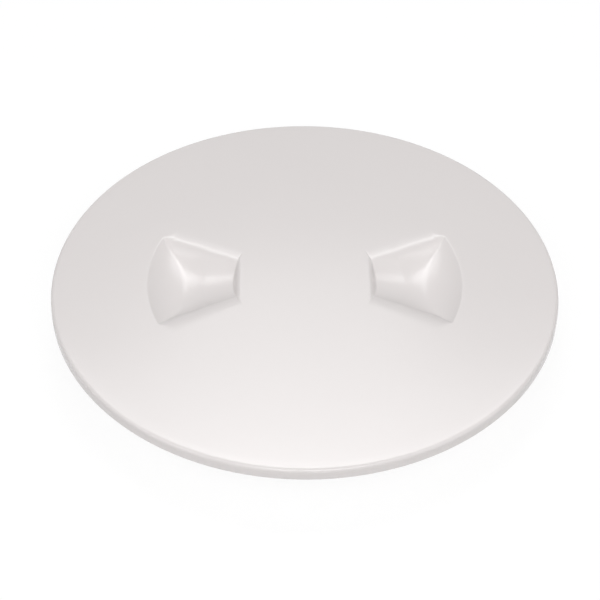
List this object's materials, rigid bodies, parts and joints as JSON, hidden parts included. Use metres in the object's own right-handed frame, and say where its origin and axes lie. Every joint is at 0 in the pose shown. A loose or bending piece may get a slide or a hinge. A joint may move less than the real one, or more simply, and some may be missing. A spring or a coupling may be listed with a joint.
{
  "type": "deck inspection plate",
  "caption": "Round screw-out deck inspection plate: a low domed cover with sunk finger recesses, screwed into a flanged mounting ring and sealed by an O-ring.",
  "frame": {"origin": "centre of the flange's underside, in the plane of the deck and on the axis of the cover, the neck and the screw circle", "axes": "+Z out of the deck along the cover's axis; +X through the middle of one finger recess and of the first screw hole, with the cover screwed down; +Y by the right-hand rule"},
  "size_m": [0.201, 0.201, 0.0242],
  "materials": {
    "cover_plastic": "moulded white plastic with a soft gloss",
    "ring_plastic": "moulded white plastic with a soft gloss",
    "seal_rubber": "smooth black rubber"
  },
  "bodies": {
    "ring": {"mounting_ring": "ring_plastic"},
    "seal": {"o_ring": "seal_rubber"},
    "lid": {"cover": "cover_plastic"}
  },
  "joints": [
    {"name": "cover_rise", "type": "slide", "parent": "ring", "child": "seal", "axis": [0, 0, 1], "range_m": [0, 0.0064]},
    {"name": "cover_turn", "type": "hinge", "parent": "seal", "child": "lid", "pos_m": [0, 0, 0], "axis": [0, 0, 1], "range_deg": [0, 540]}
  ],
  "couplings": [
    {"joint": "cover_rise", "follows": "cover_turn", "m_per_rad": 0.00066845}
  ]
}
